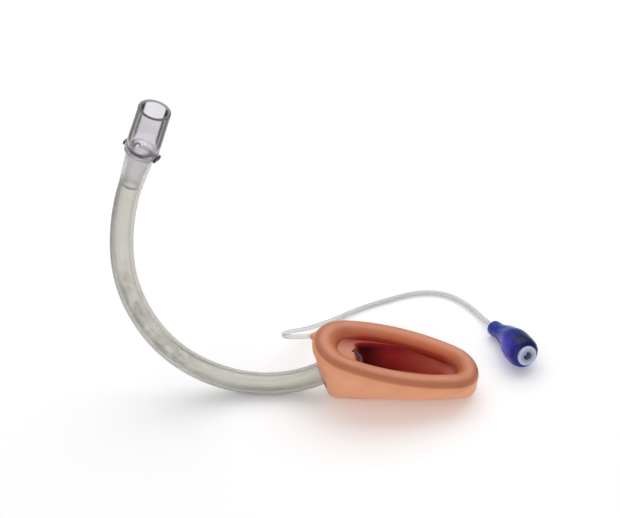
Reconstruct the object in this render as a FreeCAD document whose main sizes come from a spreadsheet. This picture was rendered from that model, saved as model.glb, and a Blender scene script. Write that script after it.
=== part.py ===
import FreeCAD, Part

import math
import os

import Sketcher
from FreeCAD import Placement, Rotation, Vector

# Laryngeal mask airway, in millimetres. +X points from the tube towards the mask's tip, +Z is up,
# and the XZ plane cuts the object into two like halves. The origin lies on the table, under the
# middle of the tube and mask.

SIZES = {
    # airway tube: one extrusion, bent in four arcs from the heel on the table up to the connector
    "tube_radius": 5.5,
    "tube_bore_radius": 3.8,
    "heel_radius": 52.0,
    "heel_rise": 32.0,
    "heel_turn": 17.7,
    "lower_bend_radius": 66.0,
    "lower_bend_turn": 40.3,
    "middle_bend_radius": 94.0,
    "middle_bend_turn": 30.6,
    "upper_bend_radius": 137.0,
    "upper_bend_turn": 18.0,
    "stem_seat": 19.0,
    "flare_radius": 6.9,
    "flare_bore_radius": 5.4,
    "tube_insertion": 9.5,
    # connector: standard 15 mm cone with a flange, two lugs and a tapered stem
    "cone_small_radius": 7.6,
    "cone_large_radius": 7.8,
    "cone_length": 16.0,
    "collar_length": 6.2,
    "flange_radius": 8.0,
    "flange_height": 1.8,
    "connector_bore_radius": 6.0,
    "connector_bore_length": 21.0,
    "throat_radius": 3.4,
    "throat_drop": 3.2,
    "lug_reach": 8.8,
    "lug_width": 5.0,
    "lug_turn": -31.0,
    "rim_fillet": 0.4,
    "edge_fillet": 0.3,
    # cuff: the rim is an egg of four arcs in a plane that tilts down towards the tip; the wall under
    # it is set out from the rim, or in where negative, at the heel, sides and tip of each level
    "rim_setback": 0.96,
    "rim_height": 29.9,
    "rim_pitch": 14.4,
    "rim_length": 71.9,
    "rim_width": 32.2,
    "heel_end_radius": 14.0,
    "tip_end_radius": 11.0,
    "roll_radius": 5.2,
    "top_heel": 4.8,
    "top_side": 5.1,
    "top_tip": 4.8,
    "shoulder_heel": 3.2,
    "shoulder_side": 3.2,
    "shoulder_tip": 4.7,
    "waist_heel": 1.1,
    "waist_side": -1.3,
    "waist_tip": 4.4,
    "bilge_heel": -0.9,
    "bilge_side": -6.1,
    "bilge_tip": 3.7,
    "turn_heel": -2.0,
    "turn_side": -9.3,
    "turn_tip": 2.4,
    "foot_heel": -2.8,
    "foot_side": -10.9,
    "foot_tip": 0.8,
    "port_side": 7.0,
    "port_drop": 0.4,
    "port_reach": 6.5,
    "port_root": 1.8,
    "port_root_radius": 2.4,
    "port_tip_radius": 1.7,
    # bowl: backplate with its cavity; each level of the cavity starts this far along the rim, this
    # deep under the rim's plane, and is set in from the rim at its sides and tip
    "bowl_inset": 4.6,
    "bowl_foot_inset": 7.6,
    "lip_start": 13.8,
    "lip_side": 5.6,
    "lip_tip": 5.6,
    "hollow_start": 16.8,
    "hollow_depth": 5.5,
    "hollow_side": 6.5,
    "hollow_tip": 7.4,
    "hollow_pitch": 11.5,
    "floor_start": 23.5,
    "floor_depth": 15.0,
    "floor_side": 9.4,
    "floor_tip": 11.5,
    "floor_pitch": 6.0,
    "backplate_thickness": 2.4,
    "socket_radius": 7.1,
    "mouth_radius": 5.2,
    "mouth_rise": 0.6,
    "bar_thickness": 1.3,
    "bar_depth": 1.6,
    "bar_spacing": 3.0,
    # inflation line and pilot balloon with its check valve
    "line_radius": 1.1,
    "neck_radius": 3.75,
    "neck_length": 8.9,
    "bulb_radius": 7.7,
    "bulb_shoulder": 19.2,
    "bulb_length": 32.9,
    "neck_fillet": 5.0,
    "shoulder_fillet": 9.0,
    "bulb_end_fillet": 3.2,
    "valve_radius": 4.3,
    "valve_length": 15.0,
    "valve_flange_radius": 4.9,
    "valve_flange_height": 1.2,
    "luer_mouth_radius": 2.15,
    "luer_depth": 7.3,
    "luer_end_radius": 1.93,
    "seat_thickness": 1.2,
    "seat_hole_radius": 1.0,
    "chamber_radius": 2.6,
    "retainer_height": 1.2,
    "retainer_hole_radius": 0.8,
    "plunger_radius": 0.7,
    "plunger_top_gap": 2.2,
    "head_radius": 1.9,
    "head_height": 1.3,
    "peg_radius": 0.9,
    "peg_length": 1.2,
    "seal_height": 0.5,
    "seal_gap": 0.1,
    "spring_radius": 1.6,
    "spring_wire_radius": 0.17,
    "spring_turns": 4.0,
}

# The pilot balloon lies on the table: the middle of its neck's end, and which way its valve looks
NECK_END = Vector(96.0, 43.8, 3.8)
PILOT_AXIS = Vector(0.427, -0.879, 0.211).normalize()

# The inflation line's route between the port and the neck, chosen by hand
LINE_POINTS = [
    (-5.4, 8.0, 27.8),
    (-7.6, 17.5, 22.0),
    (-3.6, 28.5, 14.2),
    (3.6, 39.5, 6.4),
    (14.6, 50.0, 1.9),
    (29.5, 61.0, 1.3),
    (46.0, 69.0, 1.3),
    (61.2, 74.6, 1.3),
    (74.8, 72.6, 1.4),
    (84.8, 63.2, 1.7),
]

doc = FreeCAD.newDocument("laryngeal_mask")
sheet = doc.addObject("Spreadsheet::Sheet", "dims")
for row, (alias, number) in enumerate(SIZES.items(), 1):
    sheet.set("A%d" % row, alias)
    sheet.set("B%d" % row, str(number))
    sheet.setAlias("B%d" % row, alias)
doc.recompute()


def size(formula):
    """The value of a sum of named sizes, such as "cone_length + flange_height"."""
    total = 0.0
    sign = 1.0
    for word in formula.split():
        if word == "+":
            sign = 1.0
        elif word == "-":
            sign = -1.0
        else:
            total += sign * SIZES[word]
    return total


def bound(formula):
    """The same sum as an expression on the sheet."""
    words = [word if word in "+-" else "dims." + word for word in formula.split()]
    return " ".join(words)


def origin_plane(body, role):
    return next(item for item in body.Origin.OriginFeatures if item.Role == role)


def new_body(name):
    body = doc.addObject("PartDesign::Body", name)
    body.Label = name
    return body


def new_sketch(body, name):
    sketch = body.newObject("Sketcher::SketchObject", name)
    sketch.AttachmentSupport = [(origin_plane(body, "XZ_Plane"), "")]
    sketch.MapMode = "FlatFace"
    return sketch


def tie(sketch, kind, line, end, label, formula):
    """Holds one end of a line at a named distance from the sketch's origin."""
    if formula == "0":
        axis = -2 if kind == "DistanceX" else -1
        sketch.addConstraint(Sketcher.Constraint("PointOnObject", line, end, axis))
        return
    index = sketch.addConstraint(Sketcher.Constraint(kind, -1, 1, line, end, size(formula)))
    sketch.renameConstraint(index, label)
    sketch.setExpression("Constraints." + label, bound(formula))


def profile(sketch, corners):
    """A closed outline whose corners are pairs of named sizes."""
    places = [Vector(0 if a == "0" else size(a), 0 if b == "0" else size(b), 0) for a, b in corners]
    count = len(places)
    for i in range(count):
        sketch.addGeometry(Part.LineSegment(places[i], places[(i + 1) % count]), False)
    for i in range(count):
        sketch.addConstraint(Sketcher.Constraint("Coincident", i, 2, (i + 1) % count, 1))
        tie(sketch, "DistanceX", i, 1, "across%d" % i, corners[i][0])
        tie(sketch, "DistanceY", i, 1, "up%d" % i, corners[i][1])


def turned(name, corners):
    """A body turned about its own Z axis."""
    body = new_body(name)
    sketch = new_sketch(body, name + "_section")
    profile(sketch, corners)
    turn = body.newObject("PartDesign::Revolution", name + "_turn")
    turn.Profile = sketch
    turn.ReferenceAxis = (sketch, ["V_Axis"])
    turn.Angle = 360.0
    return body


def ring_edge(shape, radius, height):
    """The name of the circular edge of a turned body with this radius, at this height."""
    for index, edge in enumerate(shape.Edges, 1):
        curve = edge.Curve
        if isinstance(curve, Part.Circle) and abs(curve.Radius - radius) < 1e-3:
            if abs(curve.Center.z - height) < 1e-3:
                return "Edge%d" % index
    raise ValueError("no edge of radius %s at height %s" % (radius, height))


WALL_SHARE = 0.95


def rounded(body, name, radius, corner, wall=None):
    """Rounds the circular edge of a turned body at a corner, with less than the wall left beside it."""
    doc.recompute()
    base = body.Tip
    fillet = body.newObject("PartDesign::Fillet", name)
    fillet.Base = (base, [ring_edge(base.Shape, size(corner[0]), size(corner[1]))])
    limit = "; %s * (%s)" % (WALL_SHARE, bound(wall)) if wall else ""
    fillet.setExpression("Radius", "min(%s%s)" % (bound(radius), limit))


def aimed(point, axis, turn=0.0):
    """A placement at a point whose Z axis looks along the given axis."""
    spin = Rotation(Vector(0, 0, 1), turn)
    return Placement(point, Rotation(Vector(0, 0, 1), axis).multiply(spin))


# Tube path, in the XZ plane, from its end in the mask to its end at the connector

def heading(angle):
    """Unit vector of a path that climbs by the given angle while it runs towards -X."""
    return Vector(-math.cos(math.radians(angle)), 0, math.sin(math.radians(angle)))


def bend(start, angle, radius, turn):
    """An arc that leaves start at the given heading; gives the edge, its end and the new heading."""
    def place(turned_by):
        normal = angle + turned_by + 90
        centre = start + heading(angle + 90) * radius
        return centre - heading(normal) * radius
    edge = Part.Arc(start, place(turn / 2), place(turn)).toShape()
    return edge, place(turn), angle + turn


LOW_POINT = Vector(0, 0, SIZES["tube_radius"])


def tube_edges(low_point, insertion, top_run):
    """Straight socket run, four bends and the straight run under the connector."""
    rise = SIZES["heel_rise"]
    centre = low_point + Vector(0, 0, SIZES["heel_radius"])
    heel_start = centre - heading(90 - rise) * SIZES["heel_radius"]
    mask_end = heel_start - heading(-rise) * insertion
    edges = [Part.LineSegment(mask_end, heel_start).toShape()]
    place, angle = heel_start, -rise
    for radius, turn in (
        (SIZES["heel_radius"], rise + SIZES["heel_turn"]),
        (SIZES["lower_bend_radius"], SIZES["lower_bend_turn"]),
        (SIZES["middle_bend_radius"], SIZES["middle_bend_turn"]),
        (SIZES["upper_bend_radius"], SIZES["upper_bend_turn"]),
    ):
        edge, place, angle = bend(place, angle, radius, turn)
        edges.append(edge)
    top = place + heading(angle) * top_run
    if top_run > 0:
        edges.append(Part.LineSegment(place, top).toShape())
    return edges, mask_end, heel_start, place, top, heading(angle)


# The origin is under the middle of the tube and mask
trial = tube_edges(LOW_POINT, SIZES["tube_insertion"], 0.0)
left = Part.Wire(trial[0]).BoundBox.XMin - SIZES["tube_radius"]
PITCH = math.radians(SIZES["rim_pitch"])
PLAN_LENGTH = SIZES["rim_length"] * math.cos(PITCH)
right = trial[2].x - SIZES["rim_setback"] + PLAN_LENGTH + SIZES["roll_radius"]
LOW_POINT.x = -(left + right) / 2

EDGES, MASK_END, HEEL_START, SEAT_START, TUBE_TOP, TOP_AXIS = tube_edges(
    LOW_POINT, SIZES["tube_insertion"], SIZES["stem_seat"]
)
SOCKET_AXIS = heading(-SIZES["heel_rise"]) * -1
RIM_START = Vector(HEEL_START.x - SIZES["rim_setback"], 0, SIZES["rim_height"])
RIM_ALONG = Vector(math.cos(PITCH), 0, -math.sin(PITCH))
RIM_UP = Vector(math.sin(PITCH), 0, math.cos(PITCH))


# Egg outlines of the mask

def egg_edges(length, width, heel_radius, tip_radius):
    """Four tangent arcs, from (0, 0) to (length, 0)."""
    reach = length - heel_radius - tip_radius
    heel_gap = width / 2 - heel_radius
    tip_gap = width / 2 - tip_radius
    square = tip_gap / heel_gap - 1
    rest = tip_gap**2 - tip_gap * heel_gap - reach**2
    along = -rest / (reach + math.sqrt(reach**2 - square * rest))
    across = (along**2 - heel_gap**2) / (2 * heel_gap)
    side_radius = width / 2 + across
    heel = Vector(heel_radius, 0, 0)
    tip = Vector(length - tip_radius, 0, 0)
    left_side = Vector(heel_radius + along, across, 0)
    right_side = Vector(heel_radius + along, -across, 0)

    def joint(side, end):
        return side + (end - side).normalize() * side_radius

    def middle(side, sign):
        return Vector(side.x, side.y + sign * side_radius, 0)
    corners = [joint(right_side, heel), joint(left_side, heel), joint(left_side, tip), joint(right_side, tip)]
    return [
        Part.Arc(corners[0], heel - Vector(heel_radius, 0, 0), corners[1]).toShape(),
        Part.Arc(corners[1], middle(left_side, -1), corners[2]).toShape(),
        Part.Arc(corners[2], tip + Vector(tip_radius, 0, 0), corners[3]).toShape(),
        Part.Arc(corners[3], middle(right_side, 1), corners[0]).toShape(),
    ]


def outline(name, edges, corner, pitch):
    """An egg as an object of the document, laid in a plane that dips by pitch towards +X."""
    wire = doc.addObject("Part::Feature", name)
    wire.Shape = Part.Wire(edges)
    wire.Placement = Placement(corner, Rotation(Vector(0, 1, 0), math.degrees(pitch)))
    return wire


def level(name, share, heel, side, tip):
    """The mask's outline at a share of the rim's height above the table, moved out from the rim."""
    pitch = math.atan(share * math.tan(PITCH))
    width = SIZES["rim_width"] + 2 * side
    edges = egg_edges(
        PLAN_LENGTH / math.cos(pitch) + heel + tip,
        width,
        width * SIZES["heel_end_radius"] / SIZES["rim_width"],
        width * SIZES["tip_end_radius"] / SIZES["rim_width"],
    )
    slope = Vector(math.cos(pitch), 0, -math.sin(pitch))
    corner = Vector(RIM_START.x, 0, share * RIM_START.z) - slope * heel
    return outline(name, edges, corner, pitch)


def wall_level(name, share):
    return level("wall_" + name, share, SIZES[name + "_heel"], SIZES[name + "_side"], SIZES[name + "_tip"])


def loft(name, sections):
    item = doc.addObject("Part::Loft", name)
    item.Sections = sections
    item.Solid = True
    item.Ruled = False
    return item


def cylinder(name, radius, height, placement):
    item = doc.addObject("Part::Cylinder", name)
    item.setExpression("Radius", bound(radius))
    item.Height = height
    item.Placement = placement
    return item


def boolean(kind, name, first, second):
    item = doc.addObject("Part::" + kind, name)
    if kind == "Cut":
        item.Base = first
        item.Tool = second
    else:
        item.Shapes = [first, second]
    return item


def swept(name, radius, spine, placement):
    """A round solid along a spine, from a circle whose radius is a named size."""
    circle = doc.addObject("Part::Circle", name + "_circle")
    circle.setExpression("Radius", bound(radius))
    circle.Placement = placement
    sweep = doc.addObject("Part::Sweep", name)
    sweep.Sections = [circle]
    sweep.Spine = (spine, [])
    sweep.Solid = True
    sweep.Frenet = False
    return sweep


def cone(name, low_radius, high_radius, height, placement):
    item = doc.addObject("Part::Cone", name)
    item.setExpression("Radius1", bound(low_radius))
    item.setExpression("Radius2", bound(high_radius))
    item.setExpression("Height", bound(height))
    item.Placement = placement
    return item


# Airway tube: swept wall with a flared end stretched over the connector's stem

tube_spine = doc.addObject("Part::Feature", "tube_spine")
tube_spine.Shape = Part.Wire(EDGES[:-1])
tube_start = aimed(MASK_END, SOCKET_AXIS * -1)
tube_outer = swept("tube_outer", "tube_radius", tube_spine, tube_start)
tube_inner = swept("tube_inner", "tube_bore_radius", tube_spine, tube_start)
flare_place = aimed(SEAT_START, TOP_AXIS)
flare_outer = cone("flare_outer", "tube_radius", "flare_radius", "stem_seat", flare_place)
flare_inner = cone("flare_inner", "tube_bore_radius", "flare_bore_radius", "stem_seat", flare_place)
tube_skin = boolean("MultiFuse", "tube_skin", tube_outer, flare_outer)
tube_lumen = boolean("MultiFuse", "tube_lumen", tube_inner, flare_inner)
airway_tube = boolean("Cut", "airway_tube", tube_skin, tube_lumen)

# Connector: turned about its own axis, with two lugs on its flange

CONE_TOP = "stem_seat + flange_height + collar_length + cone_length"
connector = turned("connector", [
    ("throat_radius", "0"),
    ("tube_bore_radius", "0"),
    ("flare_bore_radius", "stem_seat"),
    ("flange_radius", "stem_seat"),
    ("flange_radius", "stem_seat + flange_height"),
    ("cone_large_radius", "stem_seat + flange_height"),
    ("cone_large_radius", "stem_seat + flange_height + collar_length"),
    ("cone_small_radius", CONE_TOP),
    ("connector_bore_radius", CONE_TOP),
    ("connector_bore_radius", CONE_TOP + " - connector_bore_length"),
    ("throat_radius", CONE_TOP + " - connector_bore_length - throat_drop"),
])
lugs = connector.newObject("PartDesign::AdditiveBox", "lugs")
lugs.setExpression("Length", "2 * dims.lug_reach")
lugs.setExpression("Width", "dims.lug_width")
lugs.setExpression("Height", "dims.flange_height")
lugs.AttachmentSupport = [(origin_plane(connector, "XY_Plane"), "")]
lugs.MapMode = "FlatFace"
lugs.AttachmentOffset = Placement(
    Vector(-SIZES["lug_reach"], -SIZES["lug_width"] / 2, SIZES["stem_seat"]), Rotation()
)
doc.recompute()
clear_way = connector.newObject("PartDesign::SubtractiveCylinder", "clear_way")
clear_way.setExpression("Radius", "dims.throat_radius")
clear_way.setExpression("Height", "dims.stem_seat + dims.flange_height")
clear_way.AttachmentSupport = [(origin_plane(connector, "XY_Plane"), "")]
clear_way.MapMode = "FlatFace"
rounded(connector, "outer_rim", "rim_fillet", ("cone_small_radius", CONE_TOP))
rounded(connector, "inner_rim", "edge_fillet", ("connector_bore_radius", CONE_TOP))
connector.Placement = aimed(SEAT_START, TOP_AXIS, SIZES["lug_turn"])

# Cuff: rounded rim on a wall that narrows down to a flat keel, around the bowl

BLOCK = 100.0

wall = loft("cuff_wall", [
    wall_level("top", 1.0),
    wall_level("shoulder", 0.7),
    wall_level("waist", 0.42),
    wall_level("bilge", 0.2),
    wall_level("turn", 0.07),
    wall_level("foot", 0.0),
])
inset = SIZES["bowl_inset"]
foot_inset = SIZES["bowl_foot_inset"]
core = loft("core", [
    level("core_top", 1.0, -inset, -inset, -inset),
    level("core_foot", 0.0, -foot_inset, -foot_inset, -foot_inset),
])
above = doc.addObject("Part::Box", "above_underside")
above.Length = BLOCK
above.Width = BLOCK
above.Height = BLOCK
floor_corner = RIM_START + RIM_ALONG * SIZES["floor_start"] - RIM_UP * SIZES["floor_depth"]
above_turn = Rotation(Vector(0, 1, 0), SIZES["floor_pitch"])
above_shift = above_turn.multVec(Vector(-BLOCK / 2, -BLOCK / 2, -SIZES["backplate_thickness"]))
above.Placement = Placement(floor_corner + above_shift, above_turn)
plate = boolean("MultiCommon", "plate", core, above)
rim_spine = level("rim_spine", 1.0, 0.0, 0.0, 0.0)
rim_edges = egg_edges(
    SIZES["rim_length"], SIZES["rim_width"], SIZES["heel_end_radius"], SIZES["tip_end_radius"]
)
rim_point = rim_spine.Placement.multVec(rim_edges[0].Vertexes[0].Point)
rim_way = rim_spine.Placement.Rotation.multVec(rim_edges[0].tangentAt(rim_edges[0].FirstParameter))
roll = swept("roll", "roll_radius", rim_spine, aimed(rim_point, rim_way))

SOCKET_HALF = 20.0
socket_outer = cylinder(
    "socket_outer",
    "socket_radius",
    2 * SOCKET_HALF,
    aimed(HEEL_START - SOCKET_AXIS * SOCKET_HALF, SOCKET_AXIS),
)
socket = boolean("MultiCommon", "socket", socket_outer, wall)
port = cone(
    "port",
    "port_root_radius",
    "port_tip_radius",
    "port_reach + port_root",
    aimed(
        RIM_START + Vector(SIZES["port_root"], SIZES["port_side"], -SIZES["port_drop"]),
        Vector(-1, 0, 0),
    ),
)
ring_wall = boolean("Cut", "ring_wall", wall, plate)
ring = boolean("MultiFuse", "ring", ring_wall, roll)
open_ring = boolean("Cut", "open_ring", ring, socket_outer)
cuff = boolean("MultiFuse", "cuff", open_ring, port)

# Bowl: backplate inside the cuff, with its cavity, the tube's socket and the barred mouth

HEEL_SHARE = 0.38
TIP_SHARE = 0.31
LIP = 0.6
BORE_LENGTH = 16.0
BAR_BITE = 0.3


def cavity_level(name, start, depth, side, tip, pitch):
    """The cavity's outline from a point under the rim's plane, with its own dip towards the tip."""
    corner = RIM_START + RIM_ALONG * start - RIM_UP * depth
    end = RIM_START.x + RIM_ALONG.x * (SIZES["rim_length"] - tip)
    width = SIZES["rim_width"] - 2 * side
    length = (end - corner.x) / math.cos(math.radians(pitch))
    edges = egg_edges(length, width, HEEL_SHARE * width, TIP_SHARE * width)
    return outline(name, edges, corner, math.radians(pitch))


def named_level(name, depth):
    return cavity_level(
        "cavity_" + name,
        SIZES[name + "_start"],
        depth,
        SIZES[name + "_side"],
        SIZES[name + "_tip"],
        SIZES.get(name + "_pitch", SIZES["rim_pitch"]),
    )


cavity = loft("cavity", [
    cavity_level(
        "cavity_above", SIZES["lip_start"], -LIP, SIZES["lip_side"], SIZES["lip_tip"], SIZES["rim_pitch"]
    ),
    named_level("lip", 0.0),
    named_level("hollow", SIZES["hollow_depth"]),
    named_level("floor", SIZES["floor_depth"]),
])
MOUTH_UP = Vector(-SOCKET_AXIS.z, 0, SOCKET_AXIS.x)
mouth_gap = (RIM_START - HEEL_START - MOUTH_UP * SIZES["tube_bore_radius"]).dot(RIM_UP)
MOUTH = HEEL_START + SOCKET_AXIS * ((mouth_gap + SIZES["mouth_rise"]) / SOCKET_AXIS.dot(RIM_UP))
bore = cylinder("bore", "tube_bore_radius", BORE_LENGTH, aimed(MASK_END, SOCKET_AXIS))
body_of_bowl = boolean("MultiFuse", "plate_and_socket", plate, socket)
without_roll = boolean("Cut", "plate_under_roll", body_of_bowl, roll)
without_cavity = boolean("Cut", "plate_with_cavity", without_roll, cavity)
mouth_run = (MOUTH - MASK_END).Length + SIZES["tube_insertion"]
mouth_block = cylinder("mouth_block", "mouth_radius", mouth_run, aimed(HEEL_START, SOCKET_AXIS))
mouth_lip = boolean("MultiCommon", "mouth_lip", mouth_block, core)
with_lip = boolean("MultiFuse", "plate_with_lip", without_cavity, mouth_lip)
without_tube = boolean("Cut", "plate_with_socket", with_lip, tube_outer)
bored = boolean("Cut", "plate_with_bore", without_tube, bore)

bars = []
for side in (-1, 1):
    bar = doc.addObject("Part::Box", "bar_block_left" if side < 0 else "bar_block_right")
    bar.setExpression("Length", "2 * dims.tube_bore_radius + %s" % (2 * BAR_BITE))
    bar.setExpression("Width", "dims.bar_thickness")
    bar.setExpression("Height", "dims.bar_depth")
    corner = Vector(
        -SIZES["tube_bore_radius"] - BAR_BITE,
        side * SIZES["bar_spacing"] / 2 - SIZES["bar_thickness"] / 2,
        -SIZES["bar_depth"],
    )
    frame = aimed(MOUTH, SOCKET_AXIS)
    bar.Placement = Placement(frame.multVec(corner), frame.Rotation)
    bars.append(bar)
both_bars = boolean("MultiFuse", "bars", bars[0], bars[1])
mask_bowl = boolean("MultiFuse", "mask_bowl", bored, both_bars)

# Inflation line: straight runs joined by arcs, from the port to the pilot balloon's neck

PORT_END = RIM_START + Vector(-SIZES["port_reach"], SIZES["port_side"], -SIZES["port_drop"])
ARC_SHARE = 0.45
LAST_RUN = 9.0


def line_path(points):
    """The route's edges and length; prints each arc's radius."""
    edges = []
    place = points[0]
    length = 0.0
    for before, corner, after in zip(points, points[1:], points[2:]):
        run_in, run_out = corner - before, after - corner
        half_turn = run_in.getAngle(run_out) / 2
        cut = ARC_SHARE * min(run_in.Length, run_out.Length)
        radius = cut / math.tan(half_turn)
        way_in = Vector(run_in).normalize()
        way_out = Vector(run_out).normalize()
        arc_start = corner - way_in * cut
        arc_end = corner + way_out * cut
        inwards = (way_out - way_in).normalize()
        centre = corner + inwards * (radius / math.cos(half_turn))
        middle = centre - inwards * radius
        edges.append(Part.LineSegment(place, arc_start).toShape())
        edges.append(Part.Arc(arc_start, middle, arc_end).toShape())
        place = arc_end
        print("line corner: turn %.0f degrees, radius %.1f mm" % (math.degrees(2 * half_turn), radius))
    edges.append(Part.LineSegment(place, points[-1]).toShape())
    return edges


route = [PORT_END] + [Vector(*point) for point in LINE_POINTS]
route.append(NECK_END - PILOT_AXIS * LAST_RUN)
route.append(NECK_END)
line_edges = line_path(route)
line_spine = doc.addObject("Part::Feature", "line_spine")
line_spine.Shape = Part.Wire(line_edges)
inflation_line = swept("inflation_line", "line_radius", line_spine, aimed(PORT_END, route[1] - route[0]))

# Pilot balloon: pear-shaped bulb on a straight neck, with a pocket for the valve

POCKET = "bulb_length + valve_flange_height - valve_length"
pilot_balloon = turned("pilot_balloon", [
    ("0", "0"),
    ("neck_radius", "0"),
    ("neck_radius", "neck_length"),
    ("bulb_radius", "bulb_shoulder"),
    ("bulb_radius", "bulb_length"),
    ("valve_radius", "bulb_length"),
    ("valve_radius", POCKET),
    ("0", POCKET),
])
rounded(pilot_balloon, "neck_rounding", "neck_fillet", ("neck_radius", "neck_length"))
rounded(pilot_balloon, "shoulder_rounding", "shoulder_fillet", ("bulb_radius", "bulb_shoulder"))
rounded(
    pilot_balloon,
    "end_rounding",
    "bulb_end_fillet",
    ("bulb_radius", "bulb_length"),
    "bulb_radius - valve_radius",
)
pilot_balloon.Placement = aimed(NECK_END, PILOT_AXIS)

# Check valve, in its own frame: z = 0 at its inner end, mouth at the top

SEAT = "valve_length - luer_depth - seat_thickness"
VALVE_PLACE = aimed(NECK_END + PILOT_AXIS * size(POCKET), PILOT_AXIS)
valve_housing = turned("valve_housing", [
    ("chamber_radius", "0"),
    ("valve_radius", "0"),
    ("valve_radius", "valve_length - valve_flange_height"),
    ("valve_flange_radius", "valve_length - valve_flange_height"),
    ("valve_flange_radius", "valve_length"),
    ("luer_mouth_radius", "valve_length"),
    ("luer_end_radius", "valve_length - luer_depth"),
    ("seat_hole_radius", "valve_length - luer_depth"),
    ("seat_hole_radius", SEAT),
    ("chamber_radius", SEAT),
])
rounded(valve_housing, "valve_rim", "edge_fillet", ("valve_flange_radius", "valve_length"))
valve_retainer = turned("valve_retainer", [
    ("retainer_hole_radius", "0"),
    ("chamber_radius", "0"),
    ("chamber_radius", "retainer_height"),
    ("retainer_hole_radius", "retainer_height"),
])
SEAL_TOP = SEAT + " - seal_gap"
HEAD_TOP = SEAL_TOP + " - seal_height"
HEAD_FOOT = HEAD_TOP + " - head_height"
valve_plunger = turned("valve_plunger", [
    ("0", HEAD_FOOT + " - peg_length"),
    ("peg_radius", HEAD_FOOT + " - peg_length"),
    ("peg_radius", HEAD_FOOT),
    ("head_radius", HEAD_FOOT),
    ("head_radius", HEAD_TOP),
    ("plunger_radius", HEAD_TOP),
    ("plunger_radius", "valve_length - plunger_top_gap"),
    ("0", "valve_length - plunger_top_gap"),
])
valve_seal = turned("valve_seal", [
    ("plunger_radius", HEAD_TOP),
    ("head_radius", HEAD_TOP),
    ("head_radius", SEAL_TOP),
    ("plunger_radius", SEAL_TOP),
])

valve_spring = new_body("valve_spring")
wire_section = new_sketch(valve_spring, "valve_spring_wire")
wire_foot = "retainer_height + spring_wire_radius"
wire_section.addGeometry(
    Part.Circle(
        Vector(SIZES["spring_radius"], size(wire_foot), 0), Vector(0, 0, 1), SIZES["spring_wire_radius"]
    ),
    False,
)
tie(wire_section, "DistanceX", 0, 3, "across", "spring_radius")
tie(wire_section, "DistanceY", 0, 3, "up", wire_foot)
wire_index = wire_section.addConstraint(
    Sketcher.Constraint("Radius", 0, SIZES["spring_wire_radius"])
)
wire_section.renameConstraint(wire_index, "wire")
wire_section.setExpression("Constraints.wire", bound("spring_wire_radius"))
coil = valve_spring.newObject("PartDesign::AdditiveHelix", "coil")
coil.Profile = wire_section
coil.ReferenceAxis = (wire_section, ["V_Axis"])
coil.Mode = "height-turns-angle"
coil.setExpression(
    "Height", bound(HEAD_FOOT + " - retainer_height - spring_wire_radius - spring_wire_radius")
)
coil.setExpression("Turns", "dims.spring_turns")

for piece in (valve_housing, valve_retainer, valve_plunger, valve_seal, valve_spring):
    piece.Placement = VALVE_PLACE

doc.recompute()

NODES = [
    airway_tube, connector, mask_bowl, cuff, inflation_line, pilot_balloon,
    valve_housing, valve_retainer, valve_plunger, valve_seal, valve_spring,
]

for item in doc.Objects:
    if "Invalid" in item.State or "Error" in item.State:
        raise RuntimeError("%s failed: %s" % (item.Label, item.State))
for item in NODES:
    shape = item.Shape
    if shape.isNull() or not shape.isValid():
        raise RuntimeError("%s has no valid shape" % item.Label)
    if len(shape.Solids) != 1:
        raise RuntimeError("%s is %d solids" % (item.Label, len(shape.Solids)))

line_volume = math.pi * SIZES["line_radius"] ** 2 * line_spine.Shape.Length
print("line length %.1f mm" % line_spine.Shape.Length)
print("line volume %.1f of %.1f mm3" % (inflation_line.Shape.Volume, line_volume))

os.makedirs("parts", exist_ok=True)
for item in NODES:
    item.Shape.exportStep("parts/%s.step" % item.Label)
    box = item.Shape.BoundBox
    print("%-15s %9.1f mm3, z from %.2f to %.2f" % (item.Label, item.Shape.Volume, box.ZMin, box.ZMax))
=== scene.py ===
import math

import bmesh
import bpy
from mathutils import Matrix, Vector


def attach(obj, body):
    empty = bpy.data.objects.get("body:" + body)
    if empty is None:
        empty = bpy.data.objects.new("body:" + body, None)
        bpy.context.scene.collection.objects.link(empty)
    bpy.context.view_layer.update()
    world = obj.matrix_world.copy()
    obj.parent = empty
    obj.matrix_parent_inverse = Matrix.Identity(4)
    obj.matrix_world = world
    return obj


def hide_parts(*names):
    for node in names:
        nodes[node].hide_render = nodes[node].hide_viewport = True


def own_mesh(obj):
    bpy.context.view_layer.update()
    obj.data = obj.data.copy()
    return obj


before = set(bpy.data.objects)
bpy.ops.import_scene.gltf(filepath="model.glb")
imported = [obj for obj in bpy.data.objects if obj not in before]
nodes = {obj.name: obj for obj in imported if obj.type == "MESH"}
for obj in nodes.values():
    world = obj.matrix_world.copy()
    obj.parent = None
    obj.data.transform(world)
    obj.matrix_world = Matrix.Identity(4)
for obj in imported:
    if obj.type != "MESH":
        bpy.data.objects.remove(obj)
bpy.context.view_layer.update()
MM = 0.001

# Materials


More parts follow.
